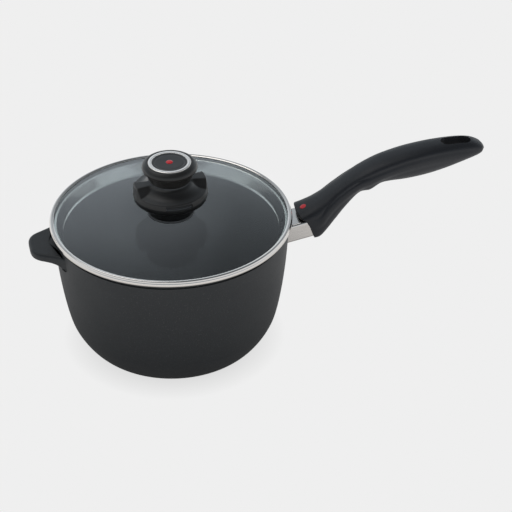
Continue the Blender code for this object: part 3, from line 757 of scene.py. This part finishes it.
def grip_body():
    """The lofted grip. Its front edge is rounded and drawn in to the socket round the sleeve,
    and its tip closes on a point just past the last section."""
    sides, rows = 176, 250
    lip_in, lip_out, tip_out = 0.10, 0.45, 0.2
    turns = 2 * pi * (np.arange(sides) + 0.5) / sides
    places = np.linspace(0, len(GRIP_STATIONS) - 1, rows)
    grid = shoulder(grip_grid(places, turns), turns, places)
    front = grid[0]
    spread = front - START
    angles = np.arctan2(spread @ LIFT, spread[:, 1])
    mouth = square_ring(SOCKET_HALF, angles, SOCKET_ROUND)
    reach = spread @ AXIS
    edge = along_sleeve(mouth, reach)
    lip = [
        front + (edge - front) * lip_in * b**2 - AXIS * lip_out * (1 - (1 - b) ** 2)
        for b in (0.12, 0.35, 0.65, 1.0)  # shares of the way round the front edge
    ]
    inner = edge - AXIS * lip_out
    face = [lip[-1] + (inner - lip[-1]) * share for share in np.linspace(0, 1, 8)[1:]]
    deep = [along_sleeve(mouth, reach + d) for d in (0.4, 3.0)]
    deep.append(along_sleeve(mouth, np.full(len(mouth), SOCKET_END)))
    rings = np.concatenate([np.array((lip + face + deep)[::-1]), grid])
    tip = grid[-1].mean(0) + np.array([tip_out, 0, 0])
    return loft(rings, (along_sleeve(np.zeros((1, 2)), SOCKET_END)[0], tip))


def hang_cutter(at=256.8, long=27.4, wide=12.4, low=130, high=180):
    """A long slot with round ends, carried straight down: two half circles joined by lines."""
    end = wide / 2
    a = np.linspace(-pi / 2, pi / 2, 25)
    right = np.stack([at + long / 2 - end + end * np.cos(a), end * np.sin(a)], 1)
    left = np.stack([at - long / 2 + end - end * np.cos(a), -end * np.sin(a)], 1)
    ring = stepped(np.vstack([right, left, right[:1]]), 0.8)[:-1]
    levels = np.linspace(low, high, 30)
    rings = np.array([np.column_stack([ring, np.full(len(ring), z)]) for z in levels])
    return loft(rings, ((at, 0, low), (at, 0, high)))


def badge_lens(radius=3.0):
    """A low enamel dome turned about its own axis."""
    return turned(rounded([
        (0, 0.55, 0), (radius - 0.6, 0.42, 0.8), (radius, 0.05, 0.3), (radius, -0.8, 0),
        (0, -0.8, 0),
    ]), SMALL_TURNS)


# ---------------------------------------------------------------- lid


def glass_height(radius):
    """The upper face: level to the knob's seat, then lower by fall (distance / reach)^power."""
    share = np.clip((radius - SEAT_R) / FALL_REACH, 0, 1)
    return GLASS_TOP_Z - GLASS_FALL * share**FALL_POWER


def glass_pane():
    """The upper face from the screw's hole outwards, a half-round edge and the same face a
    thickness lower, turned about Z."""
    hole_r, edge_r, half = 3.4, GLASS_OUT_R - 1.0, GLASS_THICK / 2
    radii = np.concatenate([np.linspace(hole_r, SEAT_R, 8), np.linspace(SEAT_R + 1.5, edge_r, 60)])
    top = np.stack([radii, glass_height(radii)], 1)
    q = np.linspace(pi / 2, -pi / 2, 11)[1:-1]
    edge = np.stack([edge_r + np.cos(q), top[-1, 1] - half + half * np.sin(q)], 1)
    return turned(np.vstack([top, edge, (top - [0, GLASS_THICK])[::-1]]), closed=True)


def band_sheet():
    """The rolled band's middle line, (radius, z), given a sheet's thickness and turned about Z:
    a bead over the glass, a bright side, a turn under the edge and a skirt inside the pan."""
    sheet = 0.6
    out, high, low = BAND_OUT_R - sheet / 2, BAND_TOP_Z - sheet / 2, RIM_Z + 0.6
    path = rounded([
        (out - 3.4, high - 0.5, 0), (out - 2.2, high, 0.7), (out - 0.75, high - 0.05, 0.9),
        (out - 0.45, high - 1.5, 0.5), (out, high - 2.1, 0.5), (out, low + 0.8, 1.2),
        (out - 1.2, low, 0.7), (99.4, low, 0.5), (98.9, low - 1.0, 0.6),
        (95.2, SKIRT_Z + 1.5, 0.8), (94.2, SKIRT_Z + 0.3, 0),
    ], steps=7)
    return turned(sheet_outline(stepped(path, 0.5), sheet), closed=True)


# ---------------------------------------------------------------- knob

DIAL_TURN = 4.0  # degrees from +X to the middle of one ear; the other is opposite
VENT_AT, VENT_HALF = 274.0, 21.0  # the middle and half the width of one vent, in degrees
EAR_TOP_Z, EAR_HALF, EAR_SLOPE = 160.1, 23.0, 11.0  # an ear's level, half its foot, its flank
WINDOW_TOP_Z, WINDOW_CUT = 152.0, 0.80  # the skirt is shortened by this share towards the level


def dial_angles():
    """Angles round the dial, close together at the steps of the two windows."""
    even = np.arange(0, 360, 1.5)
    edges = [VENT_AT + side + half for half in (0, 180) for side in (-VENT_HALF, VENT_HALF)]
    close = np.array([e + d for e in edges for d in (-0.6, -0.3, 0.3, 0.6)]) % 360
    angles = np.concatenate([even, close])
    away = np.abs((angles[:, None] - edges + 180) % 360 - 180).min(1)
    return np.unique(np.round(angles[away > 0.1], 4))


def window(angles, edge=0.3):
    """1 inside the two vent windows and 0 outside, with a step at their edges."""
    away = np.abs((angles - VENT_AT + 90) % 180 - 90)
    return np.clip((VENT_HALF + edge - away) / (2 * edge), 0, 1)


def around(rows, angles, heights):
    """Rings at the rows' radii whose height is given per row and angle."""
    a = np.radians(angles)
    x, y = rows[:, 0, None] * np.cos(a), rows[:, 0, None] * np.sin(a)
    return np.stack([x, y, heights], -1)


def vent_dial():
    """A bell turned about Z. Its two ears lift each upper point by (ear's level - z) times the
    ear's ramp, and in its two windows the skirt is shortened towards the bell."""
    over = rounded([
        (8.5, 159.7, 0), (8.9, 160.0, 0.3), (17.6, 160.0, 0.8), (19.4, 159.0, 1.0),
        (21.4, 156.8, 2.0), (24.6, 154.6, 2.5), (27.8, 153.7, 2.0), (30.75, 153.3, 0),
    ], steps=7)
    lip = np.array([
        (31.0, 153.24), (31.25, 153.12), (31.47, 152.92), (31.63, 152.66), (31.75, 152.36),
    ])
    lip_share = [0.985, 0.93, 0.70, 0.35, 0.1]  # how much of the ear's lift the lip takes
    skirt = rounded([
        (31.85, 152.1, 0), (32.6, 148.5, 0.3), (32.4, 148.3, 0.2), (30.3, 148.3, 0.35),
        (30.3, 150.6, 0.6), (26.0, 152.2, 2), (22.0, 154.4, 2), (18.6, 157.3, 1), (8.5, 157.6, 0),
    ])
    rows = np.vstack([over, lip, skirt])
    lift = np.concatenate([np.ones(len(over)), lip_share, np.zeros(len(skirt))])
    lift *= ease((rows[:, 0] - 16.2) / 2.2)
    angles = dial_angles()
    ear_away = np.abs((angles - DIAL_TURN + 90) % 180 - 90)
    ear = ramp((EAR_HALF - ear_away) / EAR_SLOPE)
    z = rows[:, 1, None]
    heights = z + (EAR_TOP_Z - z) * lift[:, None] * ear[None]
    cut = window(angles)[None] * (z < WINDOW_TOP_Z - 0.1) * (rows[:, 0, None] > 30)
    heights = heights + (WINDOW_TOP_Z - heights) * WINDOW_CUT * cut
    return loft(around(rows, angles, heights), closed=True)


def vent_base():
    """Hub, ported ring, disc and column in one outline turned about Z; in the two vents the ring
    is cut down almost level with the disc."""
    disc = 148.0
    rows = rounded([
        (3.0, 160.7, 0), (7.9, 160.7, 0.4), (7.9, disc, 0.4), (26.4, disc, 0.2),
        (26.4, 150.2, 0.3), (28.6, 150.2, 0.3), (28.6, disc, 0.2), (31.8, disc, 0.6),
        (31.8, 144.0, 1.2), (30.6, 143.0, 0.5), (21.0, 142.2, 1.2), (19.3, 140.6, 1.6),
        (19.3, 129.7, 0.4), (16.9, 129.7, 0.4), (16.9, 145.6, 0.6), (8.2, 145.6, 0.6),
        (8.2, 129.7, 0.4), (3.0, 129.7, 0),
    ], closed=True)
    angles = dial_angles()
    z = rows[:, 1, None]
    ring = (z > disc + 0.05) & (rows[:, 0, None] > 20)
    heights = z - (z - disc) * 0.9 * ring * window(angles)[None]
    return loft(around(rows, angles, heights), closed=True)


def knob_cap():
    """The grip on top: a rounded flange over a lip and a tapering neck, dished for its disc."""
    return turned(rounded([
        (0, 177.0, 0), (18.5, 177.0, 0.2), (18.6, 178.1, 0.3), (20.6, 178.0, 1.6),
        (23.3, 176.0, 2.4), (24.0, 173.4, 1.4), (23.5, 171.7, 0.9), (22.3, 170.7, 0.5),
        (21.4, 170.5, 0.3), (20.9, 169.7, 0.5), (20.2, 167.6, 1.0), (18.4, 162.4, 0.6),
        (17.8, 161.4, 0.4), (4.2, 161.3, 0.3), (4.2, 174.4, 0), (0, 174.4, 0),
    ], steps=8), KNOB_TURNS)


def trim_ring():
    """The bright ring: a bevelled square section turned about Z."""
    return turned(rounded([
        (15.4, 177.3, 0.1), (15.4, 178.3, 0.2), (15.7, KNOB_Z - 0.1, 0.2), (16.8, KNOB_Z, 0.5),
        (18.0, KNOB_Z - 0.1, 0.2), (18.3, 178.05, 0.2), (18.3, 177.3, 0.1),
    ], closed=True, steps=6), KNOB_TURNS, closed=True)


def knob_disc():
    """The inlaid disc: level, with a fine circular groove and a raised edge."""
    return turned(rounded([
        (0, 177.85, 0), (12.2, 177.95, 0.1), (12.4, 177.8, 0.1), (12.8, 177.8, 0.1),
        (13.0, 178.0, 0.1), (14.9, 178.15, 0.3), (15.2, 177.9, 0.2), (15.2, 177.2, 0),
        (0, 177.2, 0),
    ], steps=4), KNOB_TURNS)


def ring_band(inner, outer, low, high, rounding, sides=KNOB_TURNS):
    """A ring of square section with rounded edges, turned about Z."""
    corners = [(inner, low), (inner, high), (outer, high), (outer, low)]
    return turned(rounded([(*c, rounding) for c in corners], closed=True), sides, closed=True)


# ---------------------------------------------------------------- put together


def cut_slot(grip):
    """Cuts the hanging slot through the grip, keeps the result as its mesh and drops the cutter."""
    cutter = bpy.data.objects.new("slot_cutter", mesh_of("slot_cutter", hang_cutter(), 40))
    bpy.context.scene.collection.objects.link(cutter)
    step = grip.modifiers.new("Slot", "BOOLEAN")
    step.operation, step.solver, step.object = "DIFFERENCE", "EXACT", cutter
    bpy.context.view_layer.update()
    graph = bpy.context.evaluated_depsgraph_get()
    made = bpy.data.meshes.new_from_object(grip.evaluated_get(graph))
    grip.modifiers.clear()
    grip.data = made
    made.set_sharp_from_angle(angle=radians(40))
    bpy.data.objects.remove(cutter)


# Where the two badges sit: on the grip's collar, leaning with it, and level on the knob's disc
GRIP_BADGE = Matrix.Translation((118.4, 0, 116.4)) @ Matrix.Rotation(-radians(22), 4, "Y")
KNOB_BADGE = Matrix.Translation((0, 0, 178.05))

add_piece("pan_shell", pan_shell(), COAT, "pan", ["pan_body"])
add_piece("helper_lug", helper_lug(), COAT, "pan", ())
add_piece("handle_boss", boss_block(), COAT, "pan", ())
add_piece("steel_sleeve", sleeve_tube(), BRUSHED, "pan", ["handle_sleeve"])
grip = add_piece("moulded_grip", grip_body(), GRIP, "pan", ["handle_grip"])
cut_slot(grip)
add_piece("grip_badge", moved(badge_lens(), GRIP_BADGE), RED, "pan", ["handle_badge"])

add_piece("glass_pane", glass_pane(), GLASS, "lid", ["lid_glass"])
add_piece("rolled_band", band_sheet(), STEEL, "lid", ["lid_band"])
gasket = ring_band(17.2, 20.4, 128.3, 129.4, 0.3)
add_piece("column_gasket", gasket, RUBBER, "lid", ["base_gasket"])
add_piece("vent_column", vent_base(), SHADED_COLUMN_PHENOLIC, "lid", ["vent_base"])
add_piece("bell_dial", vent_dial(), KNOB, "dial", ["vent_dial"])
add_piece("knob_cap", knob_cap(), KNOB, "lid", ["knob_body"])
add_piece("knob_ring", trim_ring(), TRIM, "lid", ["knob_trim_ring"])
add_piece("knob_inlay", knob_disc(), DISC, "lid", ["knob_disc"])
add_piece("knob_dot", moved(badge_lens(), KNOB_BADGE), RED, "lid", ["knob_badge"])

CARRIED = {  # the inner fixings keep the frame's own shapes
    "boss_thread_insert": ZINC, "handle_lock_washer": ZINC, "handle_screw": ZINC,
    "steel_washer": ZINC, "knob_screw": ZINC, "dial_wave_washer": ZINC,
    "knob_thread_insert": BRASS, "glass_washer": RUBBER,
}
for node, finish in CARRIED.items():
    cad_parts[node].data.materials.clear()
    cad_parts[node].data.materials.append(finish)


# Mirrored in the pane, the knob and what holds it would show as one large dark shape, so they
# are kept out of reflections.
KNOB_PIECES = (
    "column_gasket", "vent_column", "bell_dial", "knob_cap", "knob_ring", "knob_inlay", "knob_dot",
)
KNOB_FIXINGS = (
    "glass_washer", "steel_washer", "knob_screw", "dial_wave_washer", "knob_thread_insert",
)
for name in KNOB_PIECES:
    bpy.data.objects[name].visible_glossy = False
for name in KNOB_FIXINGS:
    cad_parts[name].visible_glossy = False


# ---------------------------------------------------------------- studio

BACKDROP = 0.863  # the pale level of the floor and of the space behind it


def studio_floor():
    """A wide pale floor that glows evenly, with a faint painted contact shadow under the pan. The
    glow that it gives the pan is painted weaker near the middle, as painted shade standing in for
    the shadow under a real one."""
    mesh = bpy.data.meshes.new("studio_floor")
    reach = 12.0
    corners = [(-reach, -reach, 0), (reach, -reach, 0), (reach, reach, 0), (-reach, reach, 0)]
    mesh.from_pydata(corners, [], [(0, 1, 2, 3)])
    floor = bpy.data.objects.new("studio_floor", mesh)
    floor.location.z = -0.0004
    bpy.context.scene.collection.objects.link(floor)
    material = bpy.data.materials.new("studio_floor")
    material.use_nodes = True
    tree = material.node_tree
    tree.nodes.clear()
    b = Board(tree)
    place = b.node("ShaderNodeTexCoord").outputs["Object"]
    away = b.node("ShaderNodeVectorMath", {0: place}, operation="LENGTH").outputs["Value"]
    # painted contact shadow: the floor as the camera sees it is darker close round the pan's foot
    near = b.span(away, 0.066, 0.10, 0.80, 1.0)
    seen_with_painted_shadow = b.math("MULTIPLY", near, BACKDROP)
    # painted shade: the glow that the floor gives the pan is weaker close to the pan
    glow_with_painted_shade = b.span(away, 0.07, 0.30, 0.14, 0.98)
    ray = b.node("ShaderNodeLightPath").outputs["Is Camera Ray"]
    strength = b.node("ShaderNodeMix", {0: ray, 2: glow_with_painted_shade, 3: seen_with_painted_shadow}).outputs[0]
    glow = b.node("ShaderNodeEmission", {"Strength": strength}).outputs[0]
    b.node("ShaderNodeOutputMaterial", {"Surface": glow})
    mesh.materials.append(material)


def studio_air():
    """Soft studio light as a smooth surround, bright low down and dark overhead. Behind the pan
    and to its left a box-shaped area stays bright higher up."""
    world = bpy.data.worlds.new("studio_air")
    bpy.context.scene.world = world
    world.use_nodes = True
    tree = world.node_tree
    tree.nodes.clear()
    b = Board(tree)
    way = b.node("ShaderNodeTexCoord").outputs["Generated"]
    parts = b.node("ShaderNodeSeparateXYZ", {0: way}).outputs

    def levels(stops):
        """A colour ramp up the surround, from (sine of the height angle, brightness) stops."""
        made = b.node("ShaderNodeValToRGB", {0: b.math("MULTIPLY_ADD", parts[2], 0.5, 0.5)})
        bar = made.color_ramp
        bar.interpolation = "B_SPLINE"
        bar.elements.remove(bar.elements[1])
        for z, level in stops:
            stop = bar.elements.new(z * 0.5 + 0.5) if z > -1 else bar.elements[0]
            stop.color = (level * 0.90, level * 0.99, level * 1.08, 1)  # a little blue
        return made.outputs[0]

    right = levels([
        (-1, 0.8), (0.0, 1.0), (0.28, 0.92), (0.40, 0.66), (0.50, 0.42), (0.60, 0.31),
        (0.74, 0.22), (0.86, 0.14), (1.0, 0.12),
    ])
    left = levels([
        (-1, 0.8), (0.0, 1.0), (0.28, 0.95), (0.40, 0.82), (0.50, 0.72), (0.60, 0.62),
        (0.74, 0.28), (0.86, 0.20), (1.0, 0.14),
    ])
    ahead = levels([(-1, 0.8), (0.0, 0.92), (0.2, 0.80), (0.42, 0.46), (0.65, 0.12), (1.0, 0.12)])
    slant = b.math("MULTIPLY_ADD", parts[1], -0.24, parts[0])
    boxed = b.math("MULTIPLY", b.span(slant, 0.03, -0.11), b.span(parts[0], -0.50, -0.18))
    behind = b.mix(boxed, right, left)
    light = b.mix(b.span(parts[1], -0.35, 0.35), ahead, behind)
    ray = b.node("ShaderNodeLightPath").outputs["Is Camera Ray"]
    shown = b.mix(ray, light, (BACKDROP, BACKDROP, BACKDROP, 1))
    air = b.node("ShaderNodeBackground", {"Color": shown}).outputs[0]
    b.node("ShaderNodeOutputWorld", {"Surface": air})


def soft_light(name, place, aim, size, power):
    """A round soft box at a place, facing its aim: metres across, and watts."""
    lamp = bpy.data.lights.new(name, "AREA")
    lamp.shape, lamp.size, lamp.energy = "DISK", size, power
    light = bpy.data.objects.new(name, lamp)
    light.location = place
    light.rotation_euler = (Vector(aim) - Vector(place)).to_track_quat("-Z", "Y").to_euler()
    bpy.context.scene.collection.objects.link(light)


def studio_camera():
    """Looks down at the pan from in front and a little left, through a long lens."""
    camera = bpy.data.cameras.new("studio_camera")
    camera.lens, camera.sensor_width = 127.62, 36.0
    camera.clip_start, camera.clip_end = 0.05, 50.0
    holder = bpy.data.objects.new("studio_camera", camera)
    right = Vector((0.97358, -0.22835, 0.0))
    back = Vector((-0.19020, -0.81091, 0.55339)).normalized()
    up = back.cross(right)
    turn = Matrix((right, up, back)).transposed().to_4x4()
    holder.matrix_world = Matrix.Translation((-0.23247, -1.31431, 0.96722)) @ turn
    bpy.context.scene.collection.objects.link(holder)
    bpy.context.scene.camera = holder


studio_floor()
studio_air()
soft_light("soft_overhead", (-0.5, 0.5, 1.7), (0, 0, 0.1), 1.3, 7.0)
studio_camera()
bpy.context.scene.view_settings.view_transform = "Standard"
